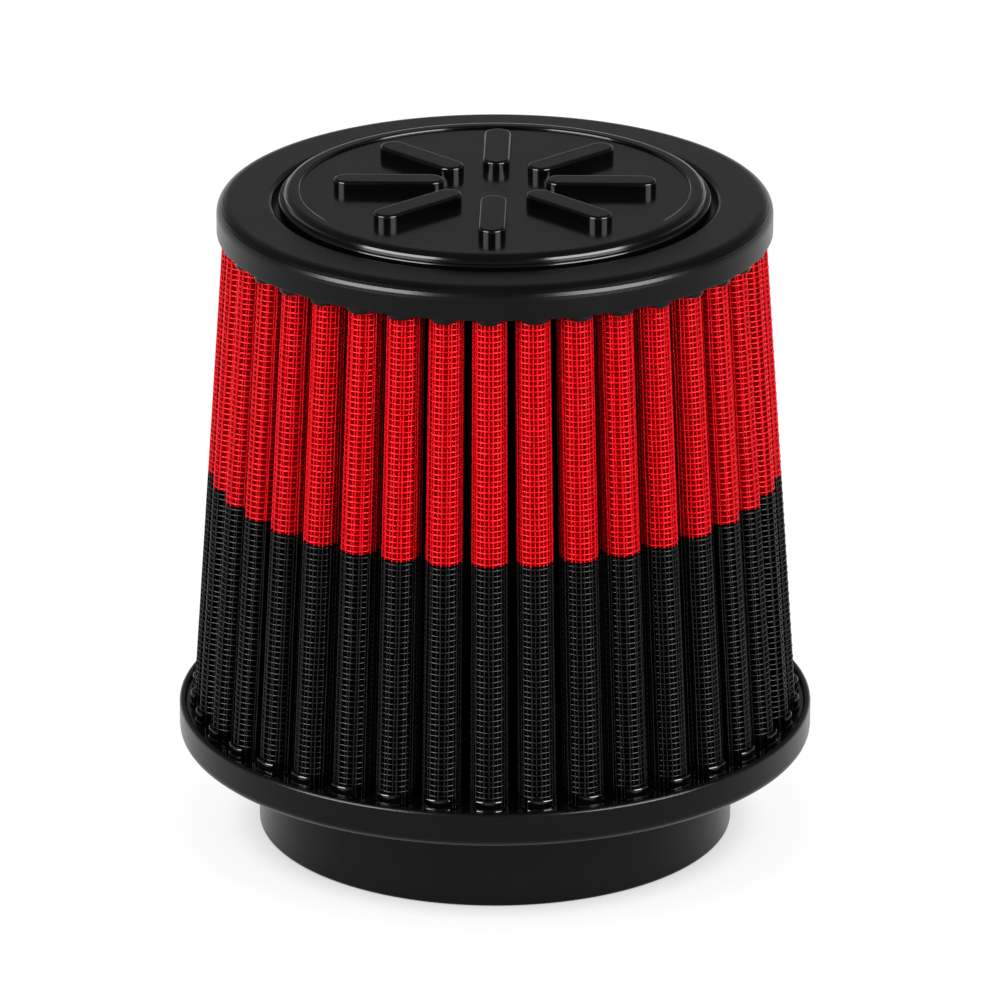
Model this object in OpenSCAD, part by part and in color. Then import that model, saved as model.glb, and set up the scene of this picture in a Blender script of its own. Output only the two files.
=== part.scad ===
// Cone air filter for an engine intake: a pleated cone between a moulded base and a moulded cap.
// The axis is Z, and the neck's mouth stands on Z = 0.

/* [Neck and flange] */
// Bore of the neck, which slips over the inlet pipe
neck_bore = 102; // [85:1:125]
// Wall of the neck
neck_wall = 6; // [4:0.5:9]
// Height of the neck below the flange
neck_h = 23; // [15:0.1:40]
// How far the flange stands out from the neck
flange_w = 19; // [15:0.5:24]
// Height of the flange, from its underside to the top of its lip
flange_h = 8.6; // [6:0.1:14]
// Width of the lip round the flange
lip_w = 1.7; // [1.2:0.1:2]
// Depth of the floor inside the lip
lip_depth = 1.2; // [0.6:0.1:2]
// Rounding of the lower edge of the neck
neck_round = 0.8; // [0.3:0.1:2]
// Rounding of the lower edge of the flange
flange_round = 2.2; // [0.5:0.1:4]
// Fillet between the neck and the flange
neck_fillet = 1.5; // [0.5:0.1:4]

/* [Pleated cone] */
// Number of pleats
pleat_count = 38; // [32:1:46]
// How far inside the flange's edge the crests stand
cone_inset = 3.2; // [2.9:0.1:4]
// How far the crests lean in between the base and the cap
cone_taper = 8.6; // [4:0.1:11]
// Height of the pleated cone
cone_h = 122; // [80:1:180]
// Clear gap between two crests at the foot
pleat_gap = 1.85; // [1.4:0.05:3]
// Clear width at the bottom of each valley
valley_w = 2; // [1.2:0.1:2.4]
// Width of the floor between the bore and the folded pack
bore_margin = 3.3; // [2:0.1:6]
// Height above the base where the outer screen changes from black to red
band_h = 59.5; // [20:0.1:100]
// Thickness of the outer wire screens
outer_screen_t = 0.5; // [0.3:0.05:0.6]
// Thickness of the gauze
gauze_t = 1; // [0.6:0.05:1.3]
// Thickness of the inner wire screen
inner_screen_t = 0.4; // [0.3:0.05:0.5]

/* [Cuffs round the crests] */
// Height of each cuff above the floor of the base
foot_cuff_h = 2.9; // [1.5:0.1:6]
// Length of each cuff below the skirt of the cap
top_cuff_h = 1.4; // [1:0.1:3]
// Wall of the cuffs at their rims
cuff_t = 0.7; // [0.6:0.05:0.9]
// How far the rim of a foot cuff stands out past its waist
cuff_flare = 0.25; // [0:0.05:0.3]
// Rounding of the edges of the cuffs
cuff_round = 0.35; // [0.2:0.05:0.4]
// Height of the toe round the foot of each cuff
toe_h = 0.6; // [0.4:0.1:1]
// How far the toe stands out from the waist
toe_w = 0.3; // [0.2:0.05:0.4]
// Angle that a foot cuff covers to each side of the front of its crest
foot_cuff_a = 32; // [20:1:80]
// Angle that a top cuff covers to each side of the front of its crest
top_cuff_a = 24; // [15:1:80]
// Clearance between a cuff and its crest
cuff_gap = 0.05; // [0.03:0.01:0.1]

/* [Cap] */
// Wall of the skirt outside the crests
skirt_t = 1.15; // [0.9:0.05:8]
// Height of the skirt that hangs over the pleats
skirt_h = 2.9; // [1.5:0.1:8]
// Clearance between the skirt and the crests
skirt_gap = 0.15; // [0.1:0.05:0.3]
// Thickness of the cap above the pleats
cap_t = 5; // [3.5:0.1:12]
// Rounding of the outer top edge of the cap
cap_round = 3.1; // [0.5:0.1:3.5]
// Rounding of the edge of the cap's face round the plate
seat_round = 1.4; // [0.5:0.1:2]
// Width of the cap's face round the plate
shoulder_w = 13.4; // [8:0.1:18]
// Depth of the seat
seat_depth = 2.6; // [1.5:0.1:4.5]
// Width of the ledge that the plate rests on
ledge_w = 9.7; // [6:0.1:14]

/* [Cap plate] */
// Clearance round the plate in its seat
plate_gap = 1.3; // [0.3:0.05:1.6]
// Height of the plate above the cap's face
plate_rise = 2.6; // [1.2:0.1:4]
// Rounding of the plate's edge
plate_round = 2; // [0.5:0.1:2.5]
// Width of the thin step at the foot of the plate's edge
step_w = 0.9; // [0.6:0.05:1.4]
// Height of the step above the cap's face
step_h = 0.6; // [0.5:0.1:1]
// Rounding of the edge of the step and of the edge round the recessed floor
edge_r = 0.45; // [0.2:0.05:0.5]
// Width of the flat rim round the recessed floor
rim_w = 2.1; // [1.5:0.1:5]
// Depth of the recessed floor
floor_depth = 0.6; // [0.5:0.1:1]

/* [Raised bars on the plate] */
// Number of bars round the centre
bar_count = 8; // [3:1:10]
// Width of each bar
bar_w = 6.4; // [3:0.1:7]
// Height of each bar above the floor
bar_h = 2.7; // [1:0.1:4]
// Distance from the centre to the near end of each bar
bar_start = 12; // [9:0.5:20]
// Distance from the far end of each bar to the edge of the recessed floor
bar_margin = 8; // [3:0.5:14]
// Rounding of the upper edge of each bar
bar_round = 0.7; // [0.2:0.1:1]

/* [Hidden] */
$fn = 96;

RUBBER = [0.035, 0.035, 0.038];
PLATE = [0.05, 0.05, 0.055];
RED = [0.78, 0.02, 0.05];
BLACK = [0.06, 0.06, 0.065];
GAUZE = [0.10, 0.08, 0.08];
STEEL = [0.45, 0.46, 0.48];

// Facets along a rounding, along a tiny one, along a crest and along half a valley
round_steps = 6;
tiny_steps = 3;
crest_steps = 5;
valley_steps = 1;
// How far one solid runs into another that it is fused with
root = 0.5;

neck_od = neck_bore + 2 * neck_wall;
flange_od = neck_od + 2 * flange_w;

floor_z = neck_h + flange_h - lip_depth;
cone_top_z = floor_z + cone_h;
band_z = floor_z + band_h;
skirt_z = cone_top_z - skirt_h;
cap_face_z = cone_top_z + cap_t;
seat_z = cap_face_z - seat_depth;
plate_top_z = cap_face_z + plate_rise;
plate_floor_z = plate_top_z - floor_depth;

// The folded pack, drawn at the foot. The crest and valley folds are arcs joined by straight flanks.
pack_t = outer_screen_t + gauze_t + inner_screen_t;
half_pitch = 180 / pleat_count;
foot_r = flange_od / 2 - cone_inset;
pleat_depth = foot_r - neck_bore / 2 - bore_margin;
crest_r = (foot_r * sin(half_pitch) - pleat_gap / 2) / (1 + sin(half_pitch));
crest_c = [0, foot_r - crest_r];
valley_r = valley_w / 2;
valley_c = (foot_r - pleat_depth + valley_r + pack_t) * [sin(half_pitch), cos(half_pitch)];
fold_line = valley_c - crest_c;
// Angle of the line from the crest's centre to where its arc meets the flank
flank_a = atan2(fold_line.y, fold_line.x) + acos((crest_r + valley_r) / norm(fold_line));

// Radius over the crests at a height, as a share of the radius at the foot
function taper_at(z) = 1 - cone_taper / foot_r * (z - floor_z) / cone_h;

skirt_in_r = foot_r * taper_at(skirt_z) + skirt_gap;
cap_r = skirt_in_r + skirt_t;
seat_r = cap_r - shoulder_w;
plate_r = seat_r - plate_gap;
edge_round = min(plate_round, plate_rise - step_h);
plate_floor_r = plate_r - step_w - edge_round - rim_w;

// Points on an arc, the ends included
function arc(centre, r, from_a, to_a, steps) =
  [for (i = [0:steps]) centre + r * [cos(from_a + (to_a - from_a) * i / steps),
    sin(from_a + (to_a - from_a) * i / steps)]];

function turned(points, a) = [for (p = points) [p.x * cos(a) - p.y * sin(a), p.x * sin(a) + p.y * cos(a)]];

// One fold at a depth inside the pack: half a valley, a crest and half a valley
function fold(depth) =
  let (
    crest = arc(crest_c, crest_r - depth, 180 - flank_a, flank_a, crest_steps),
    valley = arc(valley_c, valley_r + depth, 180 + flank_a, 270 - half_pitch, valley_steps)
  )
  concat([for (i = [valley_steps:-1:0]) [-valley[i].x, valley[i].y]], crest, valley);

// The closed outline of the whole pack at a depth inside it, clockwise
function fold_outline(depth) =
  let (one = fold(depth))
  [for (k = [0:pleat_count - 1], p = turned([for (i = [0:len(one) - 2]) one[i]], -2 * half_pitch * k)) p];

// One layer of the folded pack between two heights and two depths
module pleated_layer(low_z, high_z, near, far) {
  translate([0, 0, low_z])
    linear_extrude(height = high_z - low_z, scale = taper_at(high_z) / taper_at(low_z))
      scale(taper_at(low_z))
        difference() {
          polygon(fold_outline(near));
          polygon(fold_outline(far));
        }
}

// Places its child at each pleat, with the crest on the +Y side of the child
module at_each_pleat() {
  for (k = [0:pleat_count - 1])
    rotate(-2 * half_pitch * k)
      children();
}

// Stands its child on a crest's axis at a height, with the child's Z along the crest
module on_crest(z) {
  lean = atan2(crest_c.y * (taper_at(floor_z) - taper_at(cone_top_z)), cone_h);
  translate([0, crest_c.y * taper_at(z), z])
    rotate([lean, 0, 0])
      children();
}

// Sweeps a section, drawn in distance and height, round the front of each crest
module round_crests(z, cuff_a) {
  at_each_pleat()
    on_crest(z)
      rotate(90 - cuff_a)
        rotate_extrude(angle = 2 * cuff_a)
          children();
}

// A quarter round at the outer end of a section, above or below
function upper_edge(r, z) = arc([r - cuff_round, z - cuff_round], cuff_round, 0, 90, tiny_steps);
function lower_edge(r, z) = arc([r - cuff_round, z + cuff_round], cuff_round, -90, 0, tiny_steps);

// A cuff with a toe round the foot of each crest. It runs on below into the floor.
module foot_cuffs() {
  hold_r = crest_r + cuff_gap;
  bead_r = hold_r + cuff_t;
  waist_r = bead_r - cuff_flare;
  round_crests(floor_z, foot_cuff_a)
    polygon(concat(
      [[hold_r, foot_cuff_h], [hold_r, -root], [waist_r + toe_w, -root]],
      arc([waist_r, toe_h - toe_w], toe_w, 0, 90, tiny_steps),
      upper_edge(bead_r, foot_cuff_h)));
}

// A cuff round the top of each crest. It runs on above into the skirt.
module top_cuffs() {
  hold_r = crest_r * taper_at(skirt_z) + cuff_gap;
  bead_r = hold_r + cuff_t;
  round_crests(skirt_z - top_cuff_h, top_cuff_a)
    polygon(concat(
      [[hold_r, top_cuff_h + root], [hold_r, 0]],
      lower_edge(bead_r, 0),
      [[bead_r, top_cuff_h + root]]));
}

// The outer wall of a ring, with a rounding below and one above
function rounded_wall(r, z_low, z_high, low_round, high_round) = concat(
  arc([r - low_round, z_low + low_round], low_round, -90, 0, round_steps),
  arc([r - high_round, z_high - high_round], high_round, 0, 90, round_steps));

// One moulding: the neck, the flange with its lip, the floor and the cuffs
module base_flange() {
  lip_round = lip_w / 2;
  lip_top_z = neck_h + flange_h;
  lip_in_r = flange_od / 2 - lip_w;
  color(RUBBER)
    union() {
      rotate_extrude()
        polygon(concat(
          [[neck_bore / 2, 0]],
          arc([neck_od / 2 - neck_round, neck_round], neck_round, -90, 0, round_steps),
          arc([neck_od / 2 + neck_fillet, neck_h - neck_fillet], neck_fillet, 180, 90, round_steps),
          rounded_wall(flange_od / 2, neck_h, lip_top_z, flange_round, lip_round),
          arc([lip_in_r + lip_round, lip_top_z - lip_round], lip_round, 90 + 90 / round_steps, 180,
            round_steps - 1),
          [[lip_in_r, floor_z], [neck_bore / 2, floor_z]]));
      foot_cuffs();
    }
}

// One moulding: the shoulder, the skirt over the pleats, the seat for the plate and the cuffs
module top_cap() {
  hole_r = seat_r - ledge_w;
  color(RUBBER)
    union() {
      rotate_extrude()
        polygon(concat(
          [[hole_r, cone_top_z], [skirt_in_r, cone_top_z], [skirt_in_r, skirt_z]],
          rounded_wall(cap_r, skirt_z, cap_face_z, skirt_t / 3, cap_round),
          arc([seat_r + seat_round, cap_face_z - seat_round], seat_round, 90, 180, round_steps),
          [[seat_r, seat_z], [hole_r, seat_z]]));
      top_cuffs();
    }
}

// A round-ended bar along +X with a rounded upper edge
module bar() {
  bar_end = plate_floor_r - bar_margin;
  side = arc([bar_w / 2 - bar_round, bar_h - bar_round], bar_round, 0, 90, round_steps);
  for (x = [bar_start + bar_w / 2, bar_end - bar_w / 2])
    translate([x, 0, 0])
      rotate_extrude()
        polygon(concat([[0, -root], [bar_w / 2, -root]], side, [[0, bar_h]]));
  translate([bar_start + bar_w / 2, 0, 0])
    rotate([90, 0, 90])
      linear_extrude(bar_end - bar_start - bar_w)
        polygon(concat(
          [[-bar_w / 2, -root], [bar_w / 2, -root]],
          side,
          [for (i = [round_steps:-1:0]) [-side[i].x, side[i].y]]));
}

// The plate in the cap: a rounded edge over a thin step, a flat rim and a recessed floor with bars
module cap_plate() {
  color(PLATE)
    union() {
      rotate_extrude()
        polygon(concat(
          [[0, seat_z], [plate_r, seat_z]],
          arc([plate_r - edge_r, cap_face_z + step_h - edge_r], edge_r, 0, 90, tiny_steps),
          [[plate_r - step_w, cap_face_z + step_h]],
          arc([plate_r - step_w - edge_round, plate_top_z - edge_round], edge_round, 0, 90, round_steps),
          arc([plate_floor_r + edge_r, plate_top_z - edge_r], edge_r, 90, 180, tiny_steps),
          [[plate_floor_r, plate_floor_z], [0, plate_floor_z]]));
      for (k = [0:bar_count - 1])
        rotate(360 / bar_count * k)
          translate([0, 0, plate_floor_z])
            bar();
    }
}

module upper_screen() {
  color(RED)
    pleated_layer(band_z, cone_top_z, 0, outer_screen_t);
}

module lower_screen() {
  color(BLACK)
    pleated_layer(floor_z, band_z, 0, outer_screen_t);
}

module gauze_media() {
  color(GAUZE)
    pleated_layer(floor_z, cone_top_z, outer_screen_t, outer_screen_t + gauze_t);
}

module inner_screen() {
  color(STEEL)
    pleated_layer(floor_z, cone_top_z, outer_screen_t + gauze_t, pack_t);
}

base_flange();
top_cap();
cap_plate();
upper_screen();
lower_screen();
gauze_media();
inner_screen();
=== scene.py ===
"""Looks of a cone air filter: red and black wire mesh over dark gauze, between black mouldings."""
import math

import bpy
import numpy as np
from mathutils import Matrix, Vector


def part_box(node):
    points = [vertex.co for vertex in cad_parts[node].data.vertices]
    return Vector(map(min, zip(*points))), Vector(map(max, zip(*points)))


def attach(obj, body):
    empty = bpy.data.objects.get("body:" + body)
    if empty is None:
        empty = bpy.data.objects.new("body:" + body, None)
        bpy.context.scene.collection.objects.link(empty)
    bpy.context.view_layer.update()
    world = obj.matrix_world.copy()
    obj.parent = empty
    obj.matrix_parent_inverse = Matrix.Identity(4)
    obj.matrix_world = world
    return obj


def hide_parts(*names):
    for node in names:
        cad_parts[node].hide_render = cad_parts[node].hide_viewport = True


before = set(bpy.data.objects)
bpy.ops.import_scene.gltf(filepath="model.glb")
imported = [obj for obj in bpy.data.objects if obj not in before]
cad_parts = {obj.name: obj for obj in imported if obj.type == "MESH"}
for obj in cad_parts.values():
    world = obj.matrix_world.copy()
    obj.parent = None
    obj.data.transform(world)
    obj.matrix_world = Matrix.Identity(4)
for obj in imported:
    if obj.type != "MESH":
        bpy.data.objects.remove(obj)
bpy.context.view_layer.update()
rng = np.random.default_rng(11)

MM = 0.001
TAU = 2 * math.pi

# The folded pack, as the solids have it
PLEATS = 38
HALF_PITCH = math.pi / PLEATS
FOOT_R = 72.8 * MM
TOP_R = 64.2 * MM
PLEAT_GAP = 1.85 * MM
VALLEY_R = 1.0 * MM
PLEAT_DEPTH = 18.5 * MM
SCREEN_T = 0.5 * MM
GAUZE_T = 1.0 * MM
INNER_T = 0.4 * MM
PACK_T = SCREEN_T + GAUZE_T + INNER_T

FLOOR_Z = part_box("gauze_media")[0][2]
PACK_TOP_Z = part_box("gauze_media")[1][2]
BAND_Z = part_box("lower_screen")[1][2]
CAP_LOW_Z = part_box("top_cap")[0][2]

# One pleat's section: a crest arc, straight flanks at an angle FLANK_A, and a valley arc
CREST_R = (FOOT_R * math.sin(HALF_PITCH) - PLEAT_GAP / 2) / (1 + math.sin(HALF_PITCH))
CREST_C = np.array([0.0, FOOT_R - CREST_R])
VALLEY_C = (FOOT_R - PLEAT_DEPTH + VALLEY_R + PACK_T) * np.array([math.sin(HALF_PITCH), math.cos(HALF_PITCH)])
FOLD_LINE = VALLEY_C - CREST_C
FLANK_A = math.atan2(FOLD_LINE[1], FOLD_LINE[0]) + math.acos((CREST_R + VALLEY_R) / np.linalg.norm(FOLD_LINE))

# The outer wire mesh: wires across and upright wires, and a second set of upright wires below them
WIRE_R = 0.175 * MM
WEAVE = 0.07 * MM
MESH_DEPTH = 0.29 * MM
UNDER_DEPTH = 0.72 * MM
OPENING = 2.22 * MM
WARPS = 10
CROSSINGS = 17
RED_STEP = 1.33 * MM
RED_ROWS = 45
BLACK_STEP = 1.35 * MM
BLACK_ROWS = 42
RED_LOW_Z = BAND_Z + 0.1 * MM
RED_HIGH_Z = CAP_LOW_Z + 1.5 * MM
BLACK_LOW_Z = FLOOR_Z + 0.3 * MM
BLACK_HIGH_Z = BAND_Z - 0.3 * MM
TOOTH = 0.9 * MM
FIRST_RED_Z = BAND_Z + TOOTH + (RED_ROWS - 1) * RED_STEP
FIRST_BLACK_Z = BAND_Z - 0.6 * MM

# How much the wires vary: a row's height, each point on it, its tilt, an upright wire's sway and its end.
# WIRE_END is how far the last ring but one stands from a wire's end.
ROW_VARIES = 0.05 * MM
POINT_VARIES = 0.01 * MM
TILT_VARIES = 0.09 * MM
SWAY_VARIES = 0.05 * MM
END_VARIES = 0.14 * MM
WIRE_END = 0.1 * MM
SHIFT = rng.uniform(-0.5, 0.5, PLEATS) * OPENING
UNDER_SHIFT = SHIFT + (0.5 + rng.uniform(-0.1, 0.1, PLEATS)) * OPENING

# The small cuffs under the skirt, which wrap on round each crest and taper off
SKIRT_Z = 149.5 * MM
WING_DROP = 1.34 * MM
WING_TOP = WING_DROP + 0.2 * MM
WING_LIFT = 0.9 * MM
WING_T = 0.62 * MM
WING_ROUND = 0.3 * MM
WING_GAP = 0.06 * MM
WING_REACH = math.radians(42)
HARD_EDGE = math.radians(60)

# Where the rubber was poured and set glossy: round the feet of the pleats
POURED_LOW_Z = FLOOR_Z - 0.2 * MM
POURED_HIGH_Z = FLOOR_Z + 3.2 * MM
POURED_R = FOOT_R + 1.4 * MM

# Depths below the crests over which the wires and the gauze are painted darker into the folds (painted shade),
# and how bright the wire's colour stays at the bottom
WIRE_SHADE_DEEP, WIRE_SHADE_START = 9.0 * MM, 1.5 * MM
GAUZE_SHADE_DEEP, GAUZE_SHADE_START = 6.5 * MM, 2.0 * MM
FOLD_SHADE_LEVEL = 0.25

# Camera, on the photograph's side and height
CAMERA_FAR = 2.0
CAMERA_UP = math.radians(20.72)
CAMERA_TURN = math.radians(1.1)
CAMERA_AIM_Z = 0.0811
CAMERA_SIDE = 0.0012
FOCAL_PX = 8369
FRAME_PX = 1000
SENSOR = 36.0

# Lamps, floor and world
LIGHT_TARGET = (0, 0, 0.08)
FLOOR_HALF = 4.0
FLOOR_LEVEL = -0.01 * MM
FLOOR_GLOW = 0.885
FLOOR_SHADE = 0.12
CONTACT = 9 * MM
CONTACT_GLOW = 0.50
WORLD_LIGHT = 0.35
BACKDROP_TOP = 0.12
BACKDROP_FADE = 0.10
CEILING = 0.22


# Shapes

def taper(z):
    """Size of the fold at a height, as a share of its size at the foot."""
    return 1 + (TOP_R / FOOT_R - 1) * (z - FLOOR_Z) / (PACK_TOP_Z - FLOOR_Z)


def on_fold(s, depth):
    """Point and outward normal at a distance s along one pleat from its crest, inside the outer face."""
    side = 1 if s >= 0 else -1
    arc = (math.pi / 2 - FLANK_A) * (CREST_R - depth)
    run = abs(s)
    if run <= arc:
        a = math.pi / 2 - run / (CREST_R - depth)
        n = np.array([math.cos(a), math.sin(a)])
        p = CREST_C + (CREST_R - depth) * n
    else:
        n = np.array([math.cos(FLANK_A), math.sin(FLANK_A)])
        along = np.array([math.sin(FLANK_A), -math.cos(FLANK_A)])
        p = CREST_C + (CREST_R - depth) * n + (run - arc) * along
    return np.array([side * p[0], p[1]]), np.array([side * n[0], n[1]])


def turn(points, a):
    """Points or normals in the XY plane, turned about Z."""
    c, s = math.cos(a), math.sin(a)
    return points @ np.array([[c, s], [-s, c]])


def mesh_piece(name, verts, faces, material, tube=None):
    """A mesh object that rides on the one body. The two end faces of each tube stay flat."""
    mesh = bpy.data.meshes.new(name)
    mesh.from_pydata([tuple(v) for v in verts], [], faces)
    smooth = np.ones(len(faces), bool)
    if tube:
        smooth = smooth.reshape(-1, tube)
        smooth[:, -2:] = False
    mesh.polygons.foreach_set("use_smooth", smooth.ravel())
    mesh.materials.append(material)
    mesh.update()
    piece = bpy.data.objects.new(name, mesh)
    bpy.context.scene.collection.objects.link(piece)
    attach(piece, "root")
    return piece


def grid_faces(rings, sides, offset):
    """Faces of a closed tube whose vertices run ring by ring."""
    faces = []
    for i in range(rings - 1):
        for j in range(sides):
            a = offset + i * sides + j
            b = offset + i * sides + (j + 1) % sides
            faces.append((a, b, b + sides, a + sides))
    faces.append(tuple(offset + j for j in range(sides - 1, -1, -1)))
    faces.append(tuple(offset + (rings - 1) * sides + j for j in range(sides)))
    return faces


def wefts(name, top_z, rows, step, material):
    """The wires that run across, over and under the upright ones, row by row down every pleat."""
    sides = 4
    steps = np.arange(CROSSINGS) - (CROSSINGS - 1) // 2
    corners = TAU * (np.arange(sides) + 0.5) / sides
    verts, faces = [], []
    for k in range(PLEATS):
        angle = -2 * HALF_PITCH * k
        phase = SHIFT[k] / OPENING
        for row in range(rows):
            lift = WEAVE * np.cos(math.pi * (steps / 2 - phase + row))
            spots = [on_fold(i * OPENING / 2, MESH_DEPTH - up) for i, up in zip(steps, lift)]
            z = top_z - row * step + rng.normal(0, ROW_VARIES)
            level = z + rng.normal(0, POINT_VARIES, CROSSINGS)
            level += rng.normal(0, TILT_VARIES) * np.linspace(-1, 1, CROSSINGS)
            p = turn(np.array([spot[0] for spot in spots]) * taper(z), angle)
            n = turn(np.array([spot[1] for spot in spots]), angle)
            offset = len(verts)
            for i in range(CROSSINGS):
                for a in corners:
                    x, y = p[i] + n[i] * (WIRE_R * math.cos(a))
                    verts.append((x, y, level[i] + WIRE_R * math.sin(a)))
            faces += grid_faces(CROSSINGS, sides, offset)
    return mesh_piece(name, verts, faces, material, (CROSSINGS - 1) * sides + 2)


def warps(name, low_z, high_z, depth, shift, material):
    """The upright wires of one layer, which run the height of the screen on every pleat."""
    sides, steps = 6, 10
    corners = TAU * np.arange(sides) / sides
    verts, faces = [], []
    for k in range(PLEATS):
        angle = -2 * HALF_PITCH * k
        for i in range(WARPS):
            s = (i - (WARPS - 1) / 2) * OPENING + shift[k]
            sway = np.pad(rng.normal(0, SWAY_VARIES, steps), 1, "edge")
            end = low_z + rng.normal(0, END_VARIES)
            levels = np.concatenate([[end], np.linspace(end + WIRE_END, high_z - WIRE_END, steps), [high_z]])
            offset = len(verts)
            for j, z in enumerate(levels):
                p, n = on_fold(s + sway[j], depth)
                p, n = turn(p[None] * taper(z), angle)[0], turn(n[None], angle)[0]
                t = np.array([-n[1], n[0]])
                for a in corners:
                    x, y = p + WIRE_R * (math.cos(a) * n + math.sin(a) * t)
                    verts.append((x, y, z))
            faces += grid_faces(steps + 2, sides, offset)
    return mesh_piece(name, verts, faces, material, (steps + 1) * sides + 2)


def cuff_wings(name, material):
    """The sides of the cuffs under the skirt, a rounded strip round the front of each crest."""
    lower_round = [(WING_T - WING_ROUND + WING_ROUND * math.cos(a), WING_ROUND + WING_ROUND * math.sin(a))
                   for a in np.linspace(-math.pi / 2, 0, 5)]
    section = [(0.0, 0.0)] + lower_round + [(WING_T, WING_TOP), (0.0, WING_TOP)]
    radius = CREST_R * taper(SKIRT_Z) + WING_GAP
    sweep = np.linspace(-1, 1, 17)
    verts, faces = [], []
    for k in range(PLEATS):
        offset = len(verts)
        for part in sweep:
            a = part * WING_REACH
            lift = WING_LIFT * abs(part) ** 4
            for out, up in section:
                z = SKIRT_Z - WING_DROP + up + lift * (1 - up / WING_TOP)
                reach = radius + out
                p = np.array([[reach * math.sin(a), CREST_C[1] * taper(z) + reach * math.cos(a)]])
                x, y = turn(p, -2 * HALF_PITCH * k)[0]
                verts.append((x, y, z))
        faces += grid_faces(len(sweep), len(section), offset)
    piece = mesh_piece(name, verts, faces, material)
    piece.data.set_sharp_from_angle(angle=HARD_EDGE)
    return piece


def fold_ring(depth, crest_steps=14, valley_steps=4):
    """The whole outline of the pack at a depth, with smooth folds."""
    right = [CREST_C + (CREST_R - depth) * np.array([math.cos(a), math.sin(a)])
             for a in np.linspace(math.pi / 2, FLANK_A, crest_steps // 2 + 1)]
    right += [VALLEY_C + (VALLEY_R + depth) * np.array([math.cos(a), math.sin(a)])
              for a in np.linspace(math.pi + FLANK_A, 1.5 * math.pi - HALF_PITCH, valley_steps + 1)]
    left = [np.array([-p[0], p[1]]) for p in reversed(right[1:])]
    one = np.array(left + right)[:-1]
    return np.concatenate([turn(one, -2 * HALF_PITCH * k) for k in range(PLEATS)])


def folded_sheet(name, near, far, material):
    """A closed folded sheet between two depths, the height of the pack."""
    outer, inner = fold_ring(near), fold_ring(far)
    n = len(outer)
    rings = [(outer, FLOOR_Z), (outer, PACK_TOP_Z), (inner, PACK_TOP_Z), (inner, FLOOR_Z)]
    verts = [(p[0] * taper(z), p[1] * taper(z), z) for ring, z in rings for p in ring]
    faces = []
    for r in range(4):
        for i in range(n):
            a, b = r * n + i, r * n + (i + 1) % n
            c, d = ((r + 1) % 4) * n + (i + 1) % n, ((r + 1) % 4) * n + i
            faces.append((a, d, c, b))
    piece = mesh_piece(name, verts, faces, material)
    piece.data.set_sharp_from_angle(angle=HARD_EDGE)
    return piece


# Materials

def new_material(name):
    material = bpy.data.materials.new(name)
    material.use_nodes = True
    tree = material.node_tree
    return material, tree, tree.nodes["Principled BSDF"]


def grey(v):
    return (v, v, v)


def noise(tree, scale, detail=3.0, rough=0.5, stretch=(1, 1, 1)):
    """Noise in the object's own space, in metres."""
    coords = tree.nodes.new("ShaderNodeTexCoord")
    mapping = tree.nodes.new("ShaderNodeMapping")
    mapping.inputs["Scale"].default_value = stretch
    texture = tree.nodes.new("ShaderNodeTexNoise")
    texture.inputs["Scale"].default_value = scale
    texture.inputs["Detail"].default_value = detail
    texture.inputs["Roughness"].default_value = rough
    tree.links.new(coords.outputs["Object"], mapping.inputs["Vector"])
    tree.links.new(mapping.outputs["Vector"], texture.inputs["Vector"])
    return texture.outputs["Fac"]


def ramp(tree, source, low, high, start=0.3, end=0.7):
    """A colour that follows a texture from low to high."""
    node = tree.nodes.new("ShaderNodeValToRGB")
    for element, place, colour in zip(node.color_ramp.elements, (start, end), (low, high)):
        element.position = place
        element.color = (*colour, 1)
    tree.links.new(source, node.inputs["Fac"])
    return node.outputs["Color"]


def blend(tree, factor, first, second):
    """A colour between two, each a plain colour or a node's output."""
    node = tree.nodes.new("ShaderNodeMix")
    node.data_type = "RGBA"
    tree.links.new(factor, node.inputs["Factor"])
    for socket, colour in ((node.inputs["A"], first), (node.inputs["B"], second)):
        if isinstance(colour, tuple):
            socket.default_value = (*colour, 1)
        else:
            tree.links.new(colour, socket)
    return node.outputs["Result"]


def bump(tree, shader, height, strength, distance):
    node = tree.nodes.new("ShaderNodeBump")
    node.inputs["Strength"].default_value = strength
    node.inputs["Distance"].default_value = distance
    tree.links.new(height, node.inputs["Height"])
    tree.links.new(node.outputs["Normal"], shader.inputs["Normal"])


def math_node(tree, operation, first, second=None):
    """The result of one operation on numbers or other nodes' values."""
    node = tree.nodes.new("ShaderNodeMath")
    node.operation = operation
    for socket, value in zip(node.inputs, (first, second)):
        if isinstance(value, float):
            socket.default_value = value
        elif value is not None:
            tree.links.new(value, socket)
    return node.outputs["Value"]


def rescale(tree, value, start, end, low=0.0, high=1.0):
    """Low to high as a value goes from start to end, and no further."""
    node = tree.nodes.new("ShaderNodeMapRange")
    for socket, number in (("From Min", start), ("From Max", end), ("To Min", low), ("To Max", high)):
        node.inputs[socket].default_value = number
    tree.links.new(value, node.inputs["Value"])
    return node.outputs["Result"]


def radius_and_height(tree):
    """Distance from the filter's axis and height."""
    place = tree.nodes.new("ShaderNodeNewGeometry")
    split = tree.nodes.new("ShaderNodeSeparateXYZ")
    tree.links.new(place.outputs["Position"], split.inputs["Vector"])
    squares = math_node(tree, "ADD", math_node(tree, "POWER", split.outputs["X"], 2.0),
                        math_node(tree, "POWER", split.outputs["Y"], 2.0))
    return math_node(tree, "SQRT", squares), split.outputs["Z"]


def poured_share(tree):
    """1 on the lower cuffs and the floor round the pleats, 0 elsewhere."""
    radius, height = radius_and_height(tree)
    in_band = math_node(tree, "MULTIPLY", math_node(tree, "GREATER_THAN", height, float(POURED_LOW_Z)),
                        math_node(tree, "LESS_THAN", height, float(POURED_HIGH_Z)))
    return math_node(tree, "MULTIPLY", in_band, math_node(tree, "LESS_THAN", radius, float(POURED_R)))


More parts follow.
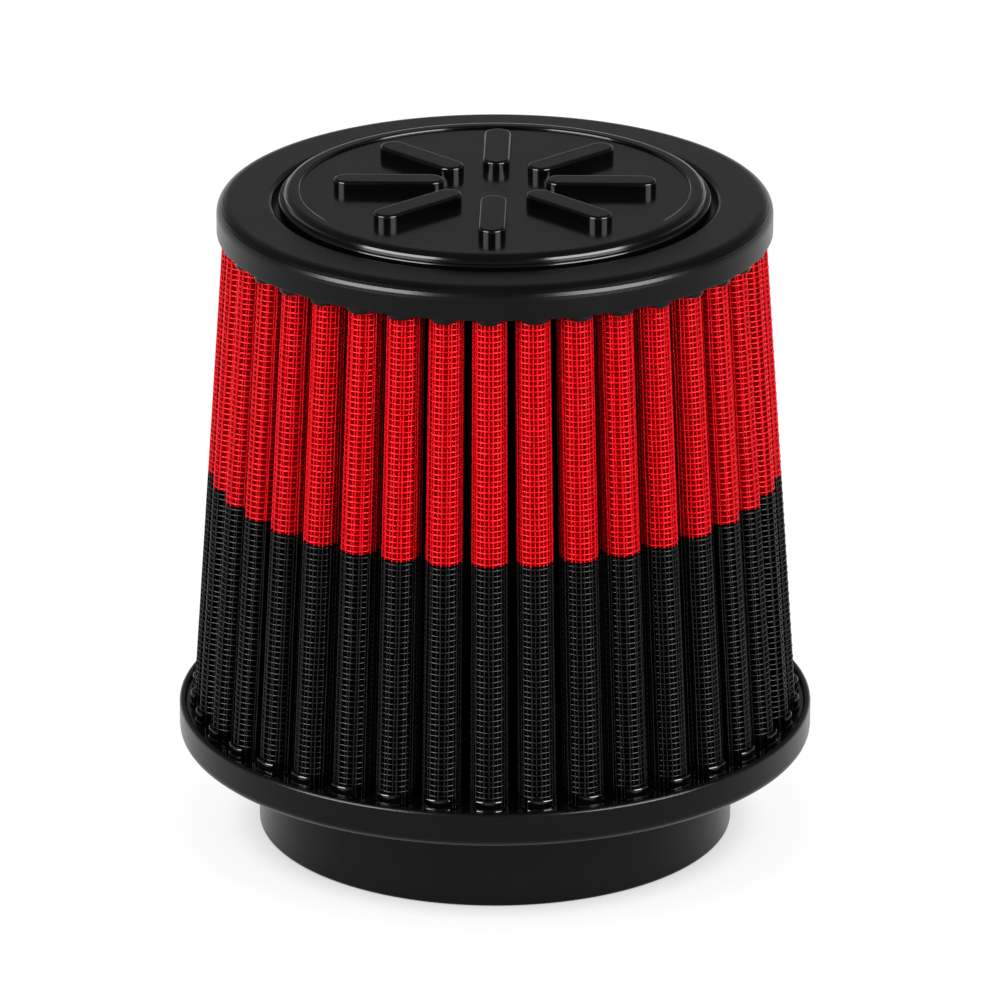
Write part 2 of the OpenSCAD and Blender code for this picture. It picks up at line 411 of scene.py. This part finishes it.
def near_crest(tree, start, end):
    """0 to 1 as a place on the folds comes up from one depth below the crests to another."""
    radius, height = radius_and_height(tree)
    lean = (FOOT_R - TOP_R) / (PACK_TOP_Z - FLOOR_Z)
    foot_radius = math_node(tree, "ADD", radius, math_node(tree, "MULTIPLY", height, float(lean)))
    crest = FOOT_R + lean * FLOOR_Z
    return rescale(tree, foot_radius, crest - start, crest - end)


def rubber_material():
    """Black polyurethane: a satin skin with a faint grain and patches, glossy where it was poured."""
    material, tree, shader = new_material("moulded_rubber")
    patches = noise(tree, 60)
    tree.links.new(ramp(tree, patches, grey(0.0012), grey(0.0018)), shader.inputs["Base Color"])
    poured = poured_share(tree)
    satin = rescale(tree, patches, 0.3, 0.7)
    satin = math_node(tree, "ADD", math_node(tree, "MULTIPLY", satin, 0.05), 0.23)
    smoother = math_node(tree, "MULTIPLY", poured, 0.13)
    tree.links.new(math_node(tree, "SUBTRACT", satin, smoother), shader.inputs["Roughness"])
    gloss = math_node(tree, "ADD", math_node(tree, "MULTIPLY", poured, 0.16), 1.22)
    tree.links.new(gloss, shader.inputs["IOR"])
    bump(tree, shader, noise(tree, 2600, 2), 0.12, 0.06 * MM)
    return material


def plate_material():
    """Semi-gloss black moulded plate."""
    material, tree, shader = new_material("plate_plastic")
    patches = noise(tree, 80)
    tree.links.new(ramp(tree, patches, grey(0.0012), grey(0.0017)), shader.inputs["Base Color"])
    tree.links.new(ramp(tree, patches, grey(0.13), grey(0.17)), shader.inputs["Roughness"])
    shader.inputs["IOR"].default_value = 1.26
    bump(tree, shader, noise(tree, 3200, 2), 0.06, 0.05 * MM)
    return material


def wire_material(name, low, high, rough, ior, metallic=0.0):
    """Coated wire. The coat varies a little from wire to wire. Down in the folds its colour is painted darker:
    painted shade.
    """
    material, tree, shader = new_material(name)
    patches = noise(tree, 700, 3, 0.6)
    shaded_coat = tuple(FOLD_SHADE_LEVEL * v for v in low)
    coat = ramp(tree, patches, low, high)
    # Painted shade: the wire's colour is darkened deeper in the folds.
    tree.links.new(blend(tree, near_crest(tree, WIRE_SHADE_DEEP, WIRE_SHADE_START), shaded_coat, coat), shader.inputs["Base Color"])
    tree.links.new(ramp(tree, patches, grey(rough), grey(rough + 0.12)), shader.inputs["Roughness"])
    shader.inputs["IOR"].default_value = ior
    shader.inputs["Metallic"].default_value = metallic
    return material


def plain_wire_material():
    """Bare metal wire of the inner screen."""
    material, tree, shader = new_material("plain_wire")
    rows = tree.nodes.new("ShaderNodeTexWave")
    rows.bands_direction = "Z"
    rows.inputs["Scale"].default_value = 220
    coords = tree.nodes.new("ShaderNodeTexCoord")
    tree.links.new(coords.outputs["Object"], rows.inputs["Vector"])
    tree.links.new(ramp(tree, rows.outputs["Fac"], grey(0.10), grey(0.42)), shader.inputs["Base Color"])
    shader.inputs["Metallic"].default_value = 0.8
    shader.inputs["Roughness"].default_value = 0.45
    bump(tree, shader, rows.outputs["Fac"], 0.5, 0.3 * MM)
    return material


def gauze_material():
    """Dark cotton gauze, stained red behind the red screen. Down in the valleys the red is painted dark:
    painted shade.
    """
    material, tree, shader = new_material("gauze")
    height = radius_and_height(tree)[1]
    # The red stain above the band, faded to dark with depth in the folds as painted shade.
    stain_and_shade = math_node(tree, "MULTIPLY", near_crest(tree, GAUZE_SHADE_DEEP, GAUZE_SHADE_START),
                        math_node(tree, "GREATER_THAN", height, float(BAND_Z)))
    threads = noise(tree, 900, 4, 0.7, (1, 1, 1.4))
    red = ramp(tree, threads, (0.16, 0.0002, 0.0004), (0.46, 0.0008, 0.002), 0.35, 0.65)
    tree.links.new(blend(tree, stain_and_shade, (0.0012, 0.0010, 0.0010), red), shader.inputs["Base Color"])
    shader.inputs["Roughness"].default_value = 0.95
    shader.inputs["Specular IOR Level"].default_value = 0.0
    return material


# Camera, lamps, floor and world

def add_camera():
    data = bpy.data.cameras.new("camera")
    data.sensor_width = SENSOR
    data.lens = FOCAL_PX / FRAME_PX * SENSOR
    data.clip_start = 0.05
    data.clip_end = 20
    camera = bpy.data.objects.new("camera", data)
    bpy.context.scene.collection.objects.link(camera)
    across = Vector((math.cos(CAMERA_TURN), math.sin(CAMERA_TURN), 0))
    back = Vector((math.sin(CAMERA_TURN), -math.cos(CAMERA_TURN), 0))
    height = CAMERA_AIM_Z + CAMERA_FAR * math.sin(CAMERA_UP)
    camera.location = (across * CAMERA_SIDE + back * CAMERA_FAR * math.cos(CAMERA_UP)
                       + Vector((0, 0, height)))
    camera.rotation_euler = (math.pi / 2 - CAMERA_UP, 0, CAMERA_TURN)
    bpy.context.scene.camera = camera


def softbox(name, place, size, power):
    """A rectangular studio light that faces the object."""
    light = bpy.data.lights.new(name, "AREA")
    light.shape = "RECTANGLE"
    light.size, light.size_y = size
    light.energy = power
    lamp = bpy.data.objects.new(name, light)
    lamp.location = place
    lamp.rotation_euler = (Vector(LIGHT_TARGET) - Vector(place)).to_track_quat("-Z", "Y").to_euler()
    bpy.context.scene.collection.objects.link(lamp)
    return lamp


def seen_directly(tree):
    """1 for rays from the camera, for reflections and through glass."""
    path = tree.nodes.new("ShaderNodeLightPath")
    seen = math_node(tree, "MAXIMUM", path.outputs["Is Camera Ray"], path.outputs["Is Glossy Ray"])
    return math_node(tree, "MAXIMUM", seen, path.outputs["Is Transmission Ray"])


def make_world():
    """White to the camera and near the horizon in reflections, and plain light on the object."""
    world = bpy.data.worlds.new("studio")
    bpy.context.scene.world = world
    world.use_nodes = True
    tree = world.node_tree
    background = tree.nodes["Background"]
    background.inputs["Color"].default_value = (1, 1, 1, 1)
    coords = tree.nodes.new("ShaderNodeTexCoord")
    split = tree.nodes.new("ShaderNodeSeparateXYZ")
    tree.links.new(coords.outputs["Generated"], split.inputs["Vector"])
    backdrop = rescale(tree, split.outputs["Z"], BACKDROP_TOP, BACKDROP_TOP + BACKDROP_FADE, 1.0, CEILING)
    path = tree.nodes.new("ShaderNodeLightPath")
    level = tree.nodes.new("ShaderNodeMix")
    level.data_type = "FLOAT"
    level.inputs["A"].default_value = WORLD_LIGHT
    tree.links.new(seen_directly(tree), level.inputs["Factor"])
    tree.links.new(math_node(tree, "MAXIMUM", backdrop, path.outputs["Is Camera Ray"]), level.inputs["B"])
    tree.links.new(level.outputs["Result"], background.inputs["Strength"])


def make_floor():
    """A pale floor that takes the object's shadow, with a painted contact shadow: its glow is dimmer where it
    all but touches the object.
    """
    material, tree, unused_shader = new_material("floor")
    tree.nodes.remove(unused_shader)
    diffuse = tree.nodes.new("ShaderNodeBsdfDiffuse")
    diffuse.inputs["Color"].default_value = (*grey(FLOOR_SHADE), 1)
    glow = tree.nodes.new("ShaderNodeEmission")
    # Painted shadow: ambient occlusion dims the floor's glow close to the object.
    contact = tree.nodes.new("ShaderNodeAmbientOcclusion")
    contact.samples = 6
    contact.inputs["Distance"].default_value = CONTACT
    open_floor = rescale(tree, contact.outputs["AO"], 0.0, 1.0, FLOOR_GLOW * CONTACT_GLOW, FLOOR_GLOW)
    tree.links.new(math_node(tree, "MULTIPLY", seen_directly(tree), open_floor), glow.inputs["Strength"])
    total = tree.nodes.new("ShaderNodeAddShader")
    tree.links.new(diffuse.outputs["BSDF"], total.inputs[0])
    tree.links.new(glow.outputs["Emission"], total.inputs[1])
    tree.links.new(total.outputs["Shader"], tree.nodes["Material Output"].inputs["Surface"])
    mesh = bpy.data.meshes.new("floor")
    corners = [(x * FLOOR_HALF, y * FLOOR_HALF, FLOOR_LEVEL) for x, y in ((-1, -1), (1, -1), (1, 1), (-1, 1))]
    mesh.from_pydata(corners, [], [(0, 1, 2, 3)])
    mesh.materials.append(material)
    floor = bpy.data.objects.new("floor", mesh)
    bpy.context.scene.collection.objects.link(floor)


rubber = rubber_material()
plate = plate_material()
red_wire = wire_material("red_wire", (0.78, 0.0002, 0.006), (0.90, 0.0004, 0.013), 0.24, 1.27, 0.36)
black_wire = wire_material("black_wire", grey(0.0010), grey(0.0025), 0.20, 1.30)
gauze = gauze_material()
plain_wire = plain_wire_material()

for node, material in (("base_flange", rubber), ("top_cap", rubber), ("cap_plate", plate)):
    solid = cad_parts[node]
    solid.data.materials.clear()
    solid.data.materials.append(material)

# Each screen's wires across are in two pieces, the upper rows and the lower rows
upper_rows = RED_ROWS // 2
red_weft = wefts("red_weft", FIRST_RED_Z, upper_rows, RED_STEP, red_wire)
wefts("red_weft_low", FIRST_RED_Z - upper_rows * RED_STEP, RED_ROWS - upper_rows, RED_STEP,
      red_wire)
warps("red_warp", RED_LOW_Z, RED_HIGH_Z, MESH_DEPTH, SHIFT, red_wire)
warps("red_under_warp", RED_LOW_Z, RED_HIGH_Z, UNDER_DEPTH, UNDER_SHIFT, red_wire)
upper_rows = BLACK_ROWS // 2
black_weft = wefts("black_weft", FIRST_BLACK_Z, upper_rows, BLACK_STEP, black_wire)
wefts("black_weft_low", FIRST_BLACK_Z - upper_rows * BLACK_STEP, BLACK_ROWS - upper_rows, BLACK_STEP,
      black_wire)
warps("black_warp", BLACK_LOW_Z, BLACK_HIGH_Z, MESH_DEPTH, SHIFT, black_wire)
warps("black_under_warp", BLACK_LOW_Z, BLACK_HIGH_Z, UNDER_DEPTH, UNDER_SHIFT, black_wire)
cuff_wings("cuff_wings", rubber)
# The gauze starts 0.5 mm below the screen, which leaves room for the under layer of wire
gauze_pack = folded_sheet("gauze_pack", SCREEN_T + 0.5 * MM, SCREEN_T + GAUZE_T, gauze)
inner_sheet = folded_sheet("inner_sheet", SCREEN_T + GAUZE_T, PACK_T, plain_wire)
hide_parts("inner_screen")
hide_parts("upper_screen")
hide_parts("lower_screen")
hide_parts("gauze_media")

add_camera()

# Large boxes give the plain light, and two strips give the highlights
for name, place, size, power in (("soft_left", (-0.95, -0.80, 0.75), (0.8, 0.8), 10),
                                 ("soft_right", (0.95, -0.80, 0.75), (0.8, 0.8), 10),
                                 ("soft_top", (0, -0.3, 1.3), (0.9, 0.9), 9),
                                 ("soft_back", (0, 1.1, 0.8), (0.8, 0.8), 8)):
    softbox(name, place, size, power).visible_glossy = False
for name, side in (("strip_left", -1), ("strip_right", 1)):
    softbox(name, (side * 0.98, -0.77, 0.56), (0.95, 0.7), 70).visible_diffuse = False

make_world()
make_floor()

bpy.context.scene.view_settings.view_transform = "Standard"
